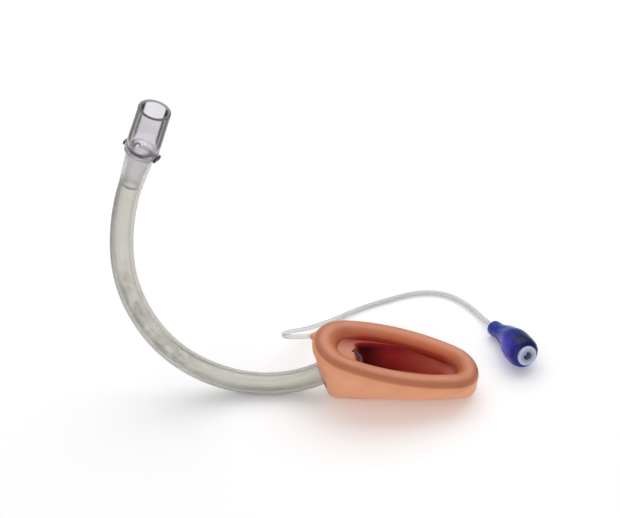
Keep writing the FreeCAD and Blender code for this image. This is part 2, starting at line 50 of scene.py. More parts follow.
class Paint:
    """A material's node tree with its main shader."""

    def __init__(self, name, **sockets):
        self.material = bpy.data.materials.new(name)
        self.material.use_nodes = True
        self.tree = self.material.node_tree
        self.nodes = self.tree.nodes
        self.main = self.nodes["Principled BSDF"]
        self.place = self.nodes.new("ShaderNodeTexCoord").outputs["Object"]
        for socket, value in sockets.items():
            self.main.inputs[socket.replace("_", " ")].default_value = value

    def link(self, source, target):
        self.tree.links.new(source, target)

    def vector(self, operation, source, value=None):
        """One step of vector maths, whose outputs hold a vector and a value."""
        step = self.nodes.new("ShaderNodeVectorMath")
        step.operation = operation
        self.link(source, step.inputs[0])
        if value is not None:
            step.inputs[1].default_value = value
        return step.outputs

    def noise(self, scale, detail=3.0, roughness=0.5):
        """A noise texture in the row frame, whose scale counts features per metre."""
        texture = self.nodes.new("ShaderNodeTexNoise")
        texture.inputs["Scale"].default_value = scale
        texture.inputs["Detail"].default_value = detail
        texture.inputs["Roughness"].default_value = roughness
        self.link(self.place, texture.inputs["Vector"])
        return texture.outputs["Fac"]

    def ramp(self, source, *stops):
        """Colours along a value: pairs of position and colour, where one number is a grey."""
        ramp = self.nodes.new("ShaderNodeValToRGB")
        elements = ramp.color_ramp.elements
        while len(elements) < len(stops):
            elements.new(0.5)
        for element, (position, colour) in zip(elements, stops):
            tone = colour if isinstance(colour, tuple) else (colour, colour, colour)
            element.position = position
            element.color = (*tone, 1.0)
        self.link(source, ramp.inputs["Fac"])
        return ramp.outputs["Color"]

    def mix(self, share, first, second, blend="MIX"):
        node = self.nodes.new("ShaderNodeMix")
        node.data_type = "RGBA"
        node.blend_type = blend
        for value, socket in ((share, node.inputs[0]), (first, node.inputs[6]), (second, node.inputs[7])):
            if isinstance(value, (int, float)):
                socket.default_value = value
            elif isinstance(value, tuple):
                socket.default_value = (*value, 1.0)
            else:
                self.link(value, socket)
        return node.outputs[2]

    def times(self, first, second):
        return self.mix(1.0, first, second, "MULTIPLY")

    def bump(self, height, depth, strength=1.0):
        """Relief of that depth in metres."""
        node = self.nodes.new("ShaderNodeBump")
        node.inputs["Strength"].default_value = strength
        node.inputs["Distance"].default_value = depth
        self.link(height, node.inputs["Height"])
        if self.main.inputs["Normal"].is_linked:
            self.link(self.main.inputs["Normal"].links[0].from_socket, node.inputs["Normal"])
        self.link(node.outputs["Normal"], self.main.inputs["Normal"])

    def math(self, operation, first, second):
        node = self.nodes.new("ShaderNodeMath")
        node.operation = operation
        for value, socket in ((first, node.inputs[0]), (second, node.inputs[1])):
            if isinstance(value, (int, float)):
                socket.default_value = value
            else:
                self.link(value, socket)
        return node.outputs[0]

    def reach(self, start, way, unit):
        """How far a point lies from start along a way, counted in units."""
        offset = self.vector("SUBTRACT", self.place, start)["Vector"]
        return self.vector("DOT_PRODUCT", offset, way / unit)["Value"]

    def aside(self, start, way, unit):
        """How far a point lies from the axis through start, counted in units."""
        offset = self.vector("SUBTRACT", self.place, start)["Vector"]
        across = self.vector("CROSS_PRODUCT", offset, way / unit)["Vector"]
        return self.vector("LENGTH", across)["Value"]

    def absorb(self, colour, density):
        """Light lost on its way through a clear wall."""
        volume = self.nodes.new("ShaderNodeVolumeAbsorption")
        volume.inputs["Color"].default_value = (*colour, 1.0)
        volume.inputs["Density"].default_value = density
        output = self.nodes["Material Output"]
        self.link(volume.outputs["Volume"], output.inputs["Volume"])


def paint(piece, material):
    piece.data.materials.clear()
    piece.data.materials.append(material)


# Rim of the mask: its start at the heel, its dip and its size
RIM_START = Vector((11.6328, 0.0, 29.9)) * MM
RIM_PITCH = math.radians(14.4)
RIM_LENGTH = 71.9 * MM
RIM_WIDTH = 32.2 * MM
RIM_ALONG = Vector((math.cos(RIM_PITCH), 0.0, -math.sin(RIM_PITCH)))
RIM_UP = Vector((math.sin(RIM_PITCH), 0.0, math.cos(RIM_PITCH)))
ACROSS = Vector((0.0, 1.0, 0.0))

DEPTH_ZERO = 6.0 * MM
DEPTH_UNIT = 20.0 * MM


def silicone(name, outer_tones, inner_tones, roughness, glow):
    """Satin rubber with tones by depth under the rim, one run outside the mask and one inside: the tones
    carry painted light and shade.
    """
    skin = Paint(
        name,
        Roughness=roughness,
        IOR=1.41,
        Subsurface_Weight=glow,
        Subsurface_Radius=(0.003, 0.0011, 0.0006),
        Subsurface_Scale=1.0,
        Coat_Weight=0.08,
        Coat_Roughness=0.3,
    )
    along = skin.reach(RIM_START + RIM_ALONG * RIM_LENGTH * 0.5, RIM_ALONG, RIM_LENGTH / 2)
    across = skin.reach(Vector(), ACROSS, RIM_WIDTH / 2)
    inwards = skin.math("ADD", skin.math("MULTIPLY", along, along), skin.math("MULTIPLY", across, across))
    depth = skin.reach(RIM_START + RIM_UP * DEPTH_ZERO, -RIM_UP, DEPTH_UNIT)
    outer = skin.ramp(depth, *outer_tones)
    inner = skin.ramp(depth, *inner_tones)
    share = skin.ramp(inwards, (0.6, 1.0), (0.95, 0.0))
    above_keel = skin.ramp(depth, (0.6, 1.0), (0.72, 0.0))
    if name == "cuff_silicone":
        share = skin.times(share, above_keel)
    cloud = skin.ramp(skin.noise(70.0, 4.0, 0.55), (0.3, (0.9, 0.88, 0.86)), (0.72, 1.0))
    skin.tone = skin.times(skin.mix(share, outer, inner), cloud)
    skin.link(skin.tone, skin.main.inputs["Base Color"])
    skin.bump(skin.noise(900.0, 4.0, 0.6), 0.00006, 0.5)
    skin.bump(skin.noise(60.0, 2.0, 0.5), 0.0004, 0.3)
    return skin


def clear_plastic(name, colour, edge, turn, roughness, absorb, density, clearness, gloss=0.5):
    """See-through plastic, painted darker where it is seen edge-on: painted shade for the dark edges a wall
    between bright surroundings shows.
    """
    wall = Paint(name, Roughness=roughness, IOR=1.49, Specular_IOR_Level=gloss)
    facing = wall.nodes.new("ShaderNodeLayerWeight")
    facing.inputs["Blend"].default_value = 0.5
    rim = facing.outputs["Facing"]
    middle, side = clearness
    wall.clear = wall.ramp(rim, (turn[0], middle), (turn[1], side))
    wall.link(wall.clear, wall.main.inputs["Transmission Weight"])
    tone = wall.ramp(rim, (turn[0], colour), (turn[1], edge))
    cloud = wall.ramp(wall.noise(160.0), (0.35, 0.95), (0.7, 1.0))
    wall.tone = wall.times(tone, cloud)
    wall.link(wall.tone, wall.main.inputs["Base Color"])
    wall.bump(wall.noise(500.0, 2.0), 0.00003, 0.4)
    wall.absorb(absorb, density)
    return wall


# Cuff, by depth under the rim. Outside: the crest's tone, then a band of painted shade down the roll's outer
# side, then the lower wall painted lighter as if lit from the floor. Inside: painted shade deepening the red
# down into the cavity.
CREST = (0.72, 0.3, 0.18)
SHADED_BAND = (0.53, 0.185, 0.09)
cuff_skin = silicone(
    "cuff_silicone",
    ((0.04, CREST), (0.09, SHADED_BAND), (0.17, SHADED_BAND), (0.22, (0.84, 0.37, 0.2))),
    ((0.04, CREST), (0.13, (0.68, 0.18, 0.06)), (0.24, (0.5, 0.07, 0.028)), (0.5, (0.3, 0.025, 0.02))),
    0.4,
    0.4,
)

# Bowl: a pale deck round the bore, a red cavity darkened by painted shade, and the bore with its two bars,
# both painted dark as shade
# Bowl, by depth. Outside: the crest's tone, a band of painted shade, then a wall painted lighter as if lit
# from the floor. Inside: painted shade in deep reds down the cavity.
bowl_skin = silicone(
    "bowl_silicone",
    ((0.1, CREST), (0.2, (0.6, 0.24, 0.14)), (0.265, (0.85, 0.4, 0.24))),
    (
        (0.28, (0.4, 0.04, 0.03)), (0.38, (0.4, 0.025, 0.035)),
        (0.6, (0.5, 0.035, 0.04)), (0.95, (0.34, 0.025, 0.02)),
    ),
    0.34,
    0.25,
)
MASK_END = Vector((20.6493, 0.0, 18.4357)) * MM
SOCKET_AXIS = Vector((0.848, 0.0, 0.5299))
BORE_RUN = 9.45 * MM
BORE_RADIUS = 3.9 * MM
DECK_RUN = 40.0 * MM
DECK_TOP = 5.0 * MM
DECK_DEPTH = 10.0 * MM
DECK_WIDTH = 20.0 * MM
TIP_START = 36.0 * MM
TIP_RUN = 26.0 * MM
DECK_TONE = (0.64, 0.25, 0.14)
TIP_TONE = (0.6, 0.15, 0.095)
BAR_SHADE = (0.3, 0.12, 0.12)
BORE_SHADE = (0.035, 0.004, 0.005)
SOCKET_TONE = (0.7, 0.32, 0.19)

run_of_deck = bowl_skin.reach(RIM_START, RIM_ALONG, DECK_RUN)
deck_depth = bowl_skin.reach(RIM_START + RIM_UP * DECK_TOP, -RIM_UP, DECK_DEPTH)
deck_side = bowl_skin.reach(ACROSS * (-DECK_WIDTH / 2), ACROSS, DECK_WIDTH)
deck = bowl_skin.times(
    bowl_skin.ramp(run_of_deck, (0.4, 1.0), (0.5, 0.0)),
    bowl_skin.ramp(deck_depth, (0.56, 1.0), (0.66, 0.0)),
)
deck = bowl_skin.times(deck, bowl_skin.ramp(deck_side, (0.5, 1.0), (0.85, 0.12)))
tone = bowl_skin.mix(deck, bowl_skin.tone, DECK_TONE)
# Painted shade in the hollow under the deck, darkest towards the heel.
hollow_shade = bowl_skin.ramp(
    run_of_deck, (0.4, (0.1, 0.05, 0.07)), (0.6, (0.22, 0.12, 0.16)), (0.85, 0.95), (1.0, 1.0)
)
below_deck = bowl_skin.ramp(deck_depth, (0.62, 0.0), (0.8, 1.0))
tone = bowl_skin.mix(below_deck, tone, bowl_skin.times(tone, hollow_shade))
# Below the deck, the cavity painted lighter towards the tip, where its painted shade eases.
towards_tip = bowl_skin.reach(RIM_START + RIM_ALONG * TIP_START, RIM_ALONG, TIP_RUN)
at_tip = bowl_skin.ramp(towards_tip, (0.1, 0.0), (0.75, 0.85))
tone = bowl_skin.mix(bowl_skin.times(below_deck, at_tip), tone, TIP_TONE)
in_bore = bowl_skin.reach(MASK_END, SOCKET_AXIS, BORE_RUN)
from_axis = bowl_skin.aside(MASK_END, SOCKET_AXIS, BORE_RADIUS)
# The two bars at the bore's mouth, painted dark: painted shade inside the bore.
bar = bowl_skin.times(
    bowl_skin.ramp(in_bore, (0.8, 0.0), (0.83, 1.0)),
    bowl_skin.ramp(from_axis, (0.96, 1.0), (0.99, 0.0)),
)
tone = bowl_skin.mix(bar, tone, BAR_SHADE)
# The bore painted near black: painted shade down the tube's opening.
bore_shade = bowl_skin.times(
    bowl_skin.ramp(in_bore, (0.78, 1.0), (0.82, 0.0)),
    bowl_skin.ramp(from_axis, (0.98, 1.0), (1.0, 0.0)),
)
tone = bowl_skin.mix(bore_shade, tone, BORE_SHADE)
socket = bowl_skin.ramp(run_of_deck, (0.06, 1.0), (0.16, 0.0))
bowl_skin.link(bowl_skin.mix(socket, tone, SOCKET_TONE), bowl_skin.main.inputs["Base Color"])

# Connector's seat in the tube's end, and its axis
SEAT_START = Vector((-75.2642, 0.0, 125.8649)) * MM
TOP_AXIS = Vector((0.285688, 0.0, 0.958323))
LUG_WAY = Vector((0.8214, -0.515, -0.2449))
STEM_LENGTH = 19.0 * MM
FLANGE_RADIUS = 8.0 * MM
CONE_TOP = 43.0 * MM
MOUTH_SIDE = Vector((0.2, 1.0, 0.0))
MOUTH_WIDTH = 16.0 * MM

# Connector: clear, with painted shade on its mouth and lugs, and a pale stem inside the tube
crystal = clear_plastic(
    "connector_clear",
    colour=(0.79, 0.77, 0.8),
    edge=(0.075, 0.07, 0.075),
    turn=(0.42, 0.54),
    roughness=0.03,
    absorb=(0.3, 0.3, 0.3),
    density=14.0,
    clearness=(1.0, 0.12),
    gloss=0.3,
)
up = crystal.reach(SEAT_START, TOP_AXIS, CONE_TOP)
in_stem = crystal.ramp(up, (0.53, 1.0), (0.61, 0.0))
stem = crystal.ramp(
    up, (0.0, (0.22, 0.22, 0.2)), (0.02, (0.22, 0.22, 0.2)), (0.035, (0.99, 0.985, 0.99)),
    (0.44, (1.0, 0.985, 1.0)), (0.5, (0.92, 0.89, 0.94)),
)
body = crystal.mix(in_stem, crystal.tone, stem)
clear = crystal.mix(in_stem, crystal.clear, (1.0, 1.0, 1.0))
# The mouth's rim painted dark and less clear: painted shade, darkest on the side towards -Y.
at_mouth = crystal.ramp(up, (0.9905, 0.0), (0.994, 1.0))
mouth_shade_side = crystal.reach(SEAT_START + TOP_AXIS * CONE_TOP, MOUTH_SIDE, MOUTH_WIDTH)
mouth_shade = crystal.ramp(
    crystal.math("ADD", mouth_shade_side, 0.5), (0.15, (0.1, 0.095, 0.1)), (0.5, (0.17, 0.165, 0.17)),
    (0.95, (0.42, 0.41, 0.42)),
)
body = crystal.mix(at_mouth, body, mouth_shade)
clear = crystal.mix(at_mouth, clear, (0.2, 0.2, 0.2))
# Both lugs painted near black and less clear: painted shade, the right one darkest.
lug = crystal.reach(SEAT_START, LUG_WAY, FLANGE_RADIUS)
right_lug_shade = crystal.ramp(lug, (0.97, 0.0), (0.995, 1.0))
left_lug_shade = crystal.ramp(crystal.math("MULTIPLY", lug, -1.0), (0.97, 0.0), (0.995, 1.0))
body = crystal.mix(right_lug_shade, crystal.mix(left_lug_shade, body, (0.1, 0.1, 0.1)), (0.008, 0.005, 0.007))
clear = crystal.mix(crystal.math("ADD", right_lug_shade, left_lug_shade), clear, (0.05, 0.05, 0.05))
crystal.link(body, crystal.main.inputs["Base Color"])
crystal.link(clear, crystal.main.inputs["Transmission Weight"])
crystal.link(crystal.ramp(up, (0.53, 0.3), (0.6, 0.03)), crystal.main.inputs["Roughness"])

# Tube: painted in straightened coordinates, each from 0 to 1: along it, out of its bend, and across
tubing = clear_plastic(
    "tube_translucent",
    colour=(1.0, 0.99, 0.955),
    edge=(0.66, 0.65, 0.62),
    turn=(0.4, 0.85),
    roughness=0.18,
    absorb=(0.3, 0.3, 0.2),
    density=30.0,
    clearness=(0.86, 0.5),
    gloss=0.2,
)
straight = tubing.nodes.new("ShaderNodeAttribute")
straight.attribute_name = "straight"
parts = tubing.nodes.new("ShaderNodeSeparateXYZ")
tubing.link(straight.outputs["Vector"], parts.inputs["Vector"])
run, outwards = parts.outputs["X"], parts.outputs["Y"]


def tube_noise(along, round_it, detail):
    """Noise with that many features along the tube and round it."""
    stretch = tubing.vector("MULTIPLY", straight.outputs["Vector"], (along, round_it, round_it))
    texture = tubing.nodes.new("ShaderNodeTexNoise")
    texture.inputs["Scale"].default_value = 1.0
    texture.inputs["Detail"].default_value = detail
    tubing.link(stretch["Vector"], texture.inputs["Vector"])
    return texture.outputs["Fac"]


def greys(*stops):
    """Stops of a ramp in the tube's slightly warm grey."""
    return [(position, (tone, tone, tone * 0.99)) for position, tone in stops]


# Round the tube, across its bend: lighter strips painted as highlights and darker ones as shade, darkest
# down the outside of the bend.
across = tubing.ramp(outwards, *greys(
    (0.0, 0.86), (0.12, 1.0), (0.2, 1.0), (0.3, 0.95), (0.55, 0.96), (0.72, 0.92), (0.8, 1.0), (0.86, 0.88),
    (0.93, 0.42), (1.0, 0.3),
))
# Streaks along the tube and blotches on its middle stretch: painted mottled reflections.
streaks = tubing.ramp(tube_noise(5.0, 9.0, 3.0), *greys((0.38, 0.92), (0.6, 1.0)))
blotches = tubing.ramp(tube_noise(34.0, 2.6, 2.0), (0.44, (0.68, 0.645, 0.65)), (0.53, 1.0))
blotched = tubing.times(
    tubing.ramp(run, *greys((0.3, 0.0), (0.38, 0.8), (0.66, 0.8), (0.73, 0.0))),
    tubing.ramp(outwards, *greys((0.2, 0.0), (0.35, 1.0), (0.65, 1.0), (0.8, 0.0))),
)
marks = tubing.mix(blotched, (1.0, 1.0, 1.0), blotches)
tone = tubing.times(tubing.times(tubing.times(tubing.tone, across), streaks), marks)
up_tube = tubing.reach(SEAT_START, TOP_AXIS, STEM_LENGTH)
over_stem = tubing.ramp(up_tube, (0.05, 0.0), (0.4, 0.85))
tubing.link(tubing.mix(over_stem, tone, (1.0, 0.98, 1.0)), tubing.main.inputs["Base Color"])

# Inflation line: paler and clearer over its first stretch from the mask's port
PORT_TURN = Vector((-8.0, 0.0, 0.0)) * MM
PORT_RUN = 60.0 * MM
line_wall = clear_plastic(
    "line_clear",
    colour=(0.86, 0.9, 0.89),
    edge=(0.64, 0.67, 0.66),
    turn=(0.42, 0.7),
    roughness=0.2,
    absorb=(0.3, 0.34, 0.32),
    density=60.0,
    clearness=(0.4, 0.4),
)
past_port = line_wall.reach(PORT_TURN, Vector((1.0, 0.0, 0.0)), PORT_RUN)
near_port = line_wall.ramp(past_port, (0.2, 0.8), (0.75, 0.0))
body = line_wall.mix(near_port, line_wall.tone, (1.0, 1.0, 1.0))
clear = line_wall.mix(near_port, line_wall.clear, (0.85, 0.85, 0.85))
line_wall.link(body, line_wall.main.inputs["Base Color"])
line_wall.link(clear, line_wall.main.inputs["Transmission Weight"])

# Pilot balloon: where the line enters its neck, its axis, the way its back faces, and the film
# pouch's length and radius in millimetres
NECK_END = Vector((96.0, 43.8, 3.8)) * MM
PILOT_AXIS = Vector((0.427109, -0.879224, 0.211054))
PILOT_BACK = Vector((0.67, 0.464, 0.578))
POUCH_LENGTH = 32.9
POUCH_RADIUS = 7.7

blue = Paint("pilot_blue", Roughness=0.34, Specular_IOR_Level=0.22, Coat_Weight=0.05, Coat_Roughness=0.15,
             Subsurface_Weight=0.1, Subsurface_Radius=(0.0004, 0.0006, 0.0016), Subsurface_Scale=1.0)
pouch_along = blue.reach(NECK_END, PILOT_AXIS, POUCH_LENGTH * MM)
pouch_round = blue.reach(NECK_END - PILOT_BACK * POUCH_RADIUS * MM, PILOT_BACK, 2 * POUCH_RADIUS * MM)
# Pouch tones along it, on its lower and upper side: a painted teal highlight along the top of the neck,
# painted lighter violet lower down, and painted shade darkening both to navy towards the valve.
low_side_light_and_shade = blue.ramp(pouch_along, (0.0, (0.016, 0.05, 0.33)), (0.35, (0.05, 0.04, 0.36)),
                     (0.75, (0.075, 0.065, 0.56)), (0.97, (0.02, 0.018, 0.2)))
top_side_light_and_shade = blue.ramp(pouch_along, (0.0, (0.006, 0.09, 0.34)), (0.3, (0.015, 0.06, 0.34)),
                     (0.6, (0.012, 0.035, 0.26)), (0.85, (0.005, 0.008, 0.08)))
film = blue.mix(blue.ramp(pouch_round, (0.42, 0.0), (0.72, 1.0)), low_side_light_and_shade, top_side_light_and_shade)
cloud = blue.ramp(blue.noise(90.0), (0.3, (0.8, 0.8, 0.85)), (0.7, 1.0))
blue.link(blue.times(film, cloud), blue.main.inputs["Base Color"])
blue.bump(blue.noise(1100.0, 3.0), 0.00004, 0.4)

# Check valve
VALVE_RADIUS = 4.9 * MM
white = Paint("valve_white", Roughness=0.33, Coat_Weight=0.15, Coat_Roughness=0.25, Subsurface_Weight=0.2,
              Subsurface_Radius=(0.0008, 0.0008, 0.001), Subsurface_Scale=1.0)
# The white valve painted with blue-grey shade, deepening towards its axis: painted shade down its socket
# round the plunger.
rings = white.ramp(
    white.aside(NECK_END, PILOT_AXIS, VALVE_RADIUS), (0.42, (0.26, 0.31, 0.4)), (0.5, (0.32, 0.38, 0.5)),
    (0.6, (0.28, 0.33, 0.45)), (0.72, (0.42, 0.47, 0.65)), (0.95, (0.58, 0.62, 0.79)),
)
cloud = white.ramp(white.noise(260.0), (0.3, (0.9, 0.9, 0.92)), (0.7, 1.0))
white.link(white.times(rings, cloud), white.main.inputs["Base Color"])
white.bump(white.noise(1800.0, 2.0), 0.00002, 0.4)

grey = Paint("plunger_grey", Roughness=0.4)
grey.link(grey.ramp(grey.noise(500.0), (0.3, (0.4, 0.47, 0.58)), (0.7, (0.48, 0.55, 0.66))),
          grey.main.inputs["Base Color"])
grey.bump(grey.noise(2000.0, 2.0), 0.00002, 0.4)

black = Paint("seal_rubber", Roughness=0.6)
black.link(black.ramp(black.noise(900.0), (0.3, (0.012, 0.012, 0.014)), (0.7, (0.022, 0.022, 0.024))),
           black.main.inputs["Base Color"])
black.bump(black.noise(2600.0, 2.0), 0.00002, 0.5)

steel = Paint("spring_steel", Metallic=1.0, Roughness=0.28)
steel.link(steel.ramp(steel.noise(1500.0), (0.3, (0.5, 0.5, 0.52)), (0.7, (0.64, 0.64, 0.66))),
           steel.main.inputs["Base Color"])
steel.bump(steel.noise(4000.0, 2.0), 0.00001, 0.4)

for name, material in (
    ("valve_housing", white.material),
    ("valve_retainer", white.material),
    ("valve_plunger", grey.material),
    ("valve_seal", black.material),
):
    paint(nodes[name], material)

# Pieces that take the place of nodes


def add_piece(name, mesh, node, material, smooth=True):
    """A piece on the airway's body, in place of a node."""
    piece = bpy.data.objects.new(name, mesh)
    bpy.context.scene.collection.objects.link(piece)
    paint(piece, material)
    if smooth:
        for face in mesh.polygons:
            face.use_smooth = True
    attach(piece, "airway")
    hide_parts(node)
    return piece


def softened(node, voxel, rounds, firm=None, firm_rounds=0):
    """A node's shape as one even skin, its edges eased as moulded rubber's are, less so where it is firm."""
    rough = bpy.data.objects.new("rough_" + node, nodes[node].data.copy())
    bpy.context.scene.collection.objects.link(rough)
    remesh = rough.modifiers.new("even", "REMESH")
    remesh.mode = "VOXEL"
    remesh.voxel_size = voxel
    bpy.context.view_layer.update()
    mesh = bpy.data.meshes.new_from_object(rough.evaluated_get(bpy.context.evaluated_depsgraph_get()))
    bpy.data.objects.remove(rough)
    work = bmesh.new()
    work.from_mesh(mesh)
    soft = [vertex for vertex in work.verts if not (firm and firm(vertex.co))]
    for step in range(rounds):
        bmesh.ops.smooth_vert(
            work,
            verts=work.verts if step < firm_rounds else soft,
            factor=0.5,
            use_axis_x=True,
            use_axis_y=True,
            use_axis_z=True,
        )
    work.to_mesh(mesh)
    work.free()
    return mesh


SOCKET_REACH = 9.0 * MM
SOCKET_END = 13.5 * MM


def round_the_socket(place):
    """Where the cuff meets the bowl's socket, at the tube's end."""
    offset = place - MASK_END
    along = offset.dot(SOCKET_AXIS)
    return along < SOCKET_END and (offset - SOCKET_AXIS * along).length < SOCKET_REACH


# Pad at the heel: its swell, half its width, its rise and fall along the rim, and its depth under it
HEEL_PAD = 3.0 * MM
HEEL_PAD_REACH = 11.0 * MM
HEEL_PAD_START = 1.0 * MM
HEEL_PAD_RISE = 5.0 * MM
HEEL_PAD_END = 13.0 * MM
HEEL_PAD_FALL = 6.0 * MM
HEEL_PAD_DEPTH = 1.5 * MM
HEEL_PAD_LEVELS = 6.5 * MM


def within(value):
    """The value, or the nearer one of 0 and 1."""
    return min(1.0, max(0.0, value))


def fuller_heel(mesh):
    """Swells the inner side of the rim at the heel, where the cushion is thickest."""
    for vertex in mesh.vertices:
        offset = vertex.co - RIM_START
        along, depth = offset.dot(RIM_ALONG), -offset.dot(RIM_UP)
        inner = within((along - HEEL_PAD_START) / HEEL_PAD_RISE)
        near = within(1.0 - abs(vertex.co.y) / HEEL_PAD_REACH)
        level = within(1.0 - abs(depth - HEEL_PAD_DEPTH) / HEEL_PAD_LEVELS)
        fade = within((HEEL_PAD_END - along) / HEEL_PAD_FALL)
        fade = fade * fade * (3.0 - 2.0 * fade)
        vertex.co += RIM_ALONG * (HEEL_PAD * inner * near ** 0.5 * level ** 0.5 * fade)


CUFF_GRID = 0.0007
CUFF_ROUNDS = 14
SOCKET_ROUNDS = 2
BOWL_GRID = 0.00035
BOWL_ROUNDS = 5

cuff_mesh = softened("cuff", CUFF_GRID, CUFF_ROUNDS, round_the_socket, SOCKET_ROUNDS)
fuller_heel(cuff_mesh)
add_piece("cuff_skin", cuff_mesh, "cuff", cuff_skin.material)
bowl_mesh = softened("mask_bowl", BOWL_GRID, BOWL_ROUNDS)
add_piece("bowl_skin", bowl_mesh, "mask_bowl", bowl_skin.material)

# Tube: the same walls as the solid, on a fine grid that knows where each point lies on the tube

# In millimetres and degrees: each bend's radius and turn, from the mask's end up
TUBE_BENDS = ((52.0, 49.7), (66.0, 40.3), (94.0, 30.6), (137.0, 18.0))
TUBE_START_ANGLE = -32.0
TUBE_INSERTION = 9.5
TUBE_WALL = (5.5, 3.8)
FLARE_WALL = (6.9, 5.4)
FLARE_LENGTH = 19.0
RING_GAP = 1.5
RING_STEPS = 48
SHARP_TURN = 1.0


def heading(angle):
    """Unit vector of a path that climbs by the given angle while it runs towards -X."""
    return Vector((-math.cos(math.radians(angle)), 0.0, math.sin(math.radians(angle))))


def tube_stations():
    """Stations along the tube in millimetres: place, angle, run, outer and inner radius."""
    place, angle, run = MASK_END / MM, TUBE_START_ANGLE, 0.0
    stations = []
    count = math.ceil(TUBE_INSERTION / RING_GAP)
    for i in range(count):
        part = TUBE_INSERTION * i / count
        stations.append((place + heading(angle) * part, angle, part, *TUBE_WALL))
    place, run = place + heading(angle) * TUBE_INSERTION, TUBE_INSERTION
    for radius, turn in TUBE_BENDS:
        centre = place + heading(angle + 90) * radius
        length = radius * math.radians(turn)
        count = math.ceil(length / RING_GAP)
        for i in range(count):
            now = angle + turn * i / count
            spot = centre - heading(now + 90) * radius
            stations.append((spot, now, run + length * i / count, *TUBE_WALL))
        angle, run = angle + turn, run + length
        place = centre - heading(angle + 90) * radius
    count = math.ceil(FLARE_LENGTH / RING_GAP)
    for i in range(count + 1):
        share = i / count
        walls = [low + (high - low) * share for low, high in zip(TUBE_WALL, FLARE_WALL)]
        spot = place + heading(angle) * FLARE_LENGTH * share
        stations.append((spot, angle, run + FLARE_LENGTH * share, *walls))
    return stations


def tube_mesh():
    """Rings of both walls, closed at the ends, with sharp edges there and the straightened places."""
    stations = tube_stations()
    total = stations[-1][2]
    spots, marks, faces = [], [], []
    for wall in (3, 4):
        for station in stations:
            place, angle, run, outer = station[:4]
            radius = station[wall]
            for step in range(RING_STEPS):
                turn = 2 * math.pi * step / RING_STEPS
                out, side = math.cos(turn) * radius, math.sin(turn) * radius
                spots.append((place - heading(angle + 90) * out + Vector((0.0, side, 0.0))) * MM)
                marks.append((run / total, 0.5 + 0.5 * out / outer, 0.5 + 0.5 * side / outer))
    rings = len(stations)
    inner = rings * RING_STEPS
    for step in range(RING_STEPS):
        beside = (step + 1) % RING_STEPS
        for base in (0, inner):
            for ring in range(rings - 1):
                first = base + ring * RING_STEPS
                second = first + RING_STEPS
                faces.append((first + step, first + beside, second + beside, second + step))
        for first in (0, (rings - 1) * RING_STEPS):
            faces.append((first + step, first + beside, inner + first + beside, inner + first + step))
    mesh = bpy.data.meshes.new("tube_wall")
    mesh.from_pydata(spots, [], faces)
    work = bmesh.new()
    work.from_mesh(mesh)
    bmesh.ops.recalc_face_normals(work, faces=work.faces)
    for edge in work.edges:
        if edge.calc_face_angle(0.0) > SHARP_TURN:
            edge.smooth = False
    work.to_mesh(mesh)
    work.free()
    straight_mark = mesh.attributes.new("straight", "FLOAT_VECTOR", "POINT")
    for item, mark in zip(straight_mark.data, marks):
        item.vector = mark
    return mesh


add_piece("tube_wall", tube_mesh(), "airway_tube", tubing.material)

# Connector: the same shape, its stem a hair slimmer, so that light finds the wall between it and the tube

STEM_GAP = 0.06 * MM
STEM_INSIDE = 3.6 * MM
STEM_OUTSIDE = 5.6 * MM
STEM_SLACK = 0.01 * MM


def slim_stem(mesh):
    for vertex in mesh.vertices:
        offset = vertex.co - SEAT_START
        along = offset.dot(TOP_AXIS)
        aside = offset - TOP_AXIS * along
        if along < STEM_LENGTH + STEM_SLACK and STEM_INSIDE < aside.length < STEM_OUTSIDE:
            vertex.co -= aside.normalized() * STEM_GAP


connector_mesh = nodes["connector"].data.copy()
slim_stem(connector_mesh)
add_piece("clear_connector", connector_mesh, "connector", crystal.material, smooth=False)

# Pilot balloon: a film pouch on a collar, welded along two sides, gathered into small pleats at its
# neck. Its profile runs from the line's hole to the valve's pocket, as distance along and radius.

POUCH_PROFILE = [
    (0.9, 1.05), (0.0, 1.3), (0.0, 3.15), (0.25, 3.6), (0.8, 3.75), (3.4, 3.75), (3.9, 3.62),
    (4.4, 3.5), (7.0, 3.48), (9.2, 3.7), (11.2, 4.25), (13.2, 5.15), (15.4, 6.2), (17.8, 7.05),
    (20.5, 7.55), (23.5, 7.7), (27.2, 7.72), (29.6, 7.6), (31.2, 7.15), (32.2, 6.45), (32.7, 5.6),
    (32.85, 4.8), (32.7, 4.32), (31.0, 4.3), (22.0, 4.3), (21.0, 3.9), (20.8, 0.0),
]
ROUND_STEPS = 144
PROFILE_STEPS = 4
PLEATS = 11
PLEAT_DEPTH = 0.14
WELD_HEIGHT = 0.3
WELD_WIDTH = 0.045
WELD_START = 4.5
WELD_RISE = 4.0
WELD_END = 32.4
WELD_FALL = 2.0
FILM_RADIUS = 3.3

# How far the film swells or dips, and where along the pouch: the middle and width of each swelling
SHOULDER_SWELL = 1.9
SHOULDER = (10.0, 5.0)
BACK_SWELL = 0.7
BACK = (20.0, 7.0)
FRONT_DIP = 1.9
FRONT = (17.0, 4.2)
NECK_PLEATS = (12.5, 3.2)
END_PLEATS = (30.5, 1.4)


def smooth_run(points, steps):
    """Points on a smooth run through the given ones."""
    run = []
    for i in range(len(points) - 1):
        before, start = points[max(i - 1, 0)], points[i]
        end, after = points[i + 1], points[min(i + 2, len(points) - 1)]
        for step in range(steps):
            t = step / steps
            run.append(tuple(
                0.5 * (2 * b + (c - a) * t + (2 * a - 5 * b + 4 * c - d) * t * t
                       + (3 * b - a - 3 * c + d) * t ** 3)
                for a, b, c, d in zip(before, start, end, after)
            ))
    run.append(points[-1])
    return run


def bell(value, middle, width):
    """A smooth swelling, 1 at its middle and gone past twice its width."""
    return math.exp(-((value - middle) / width) ** 2)


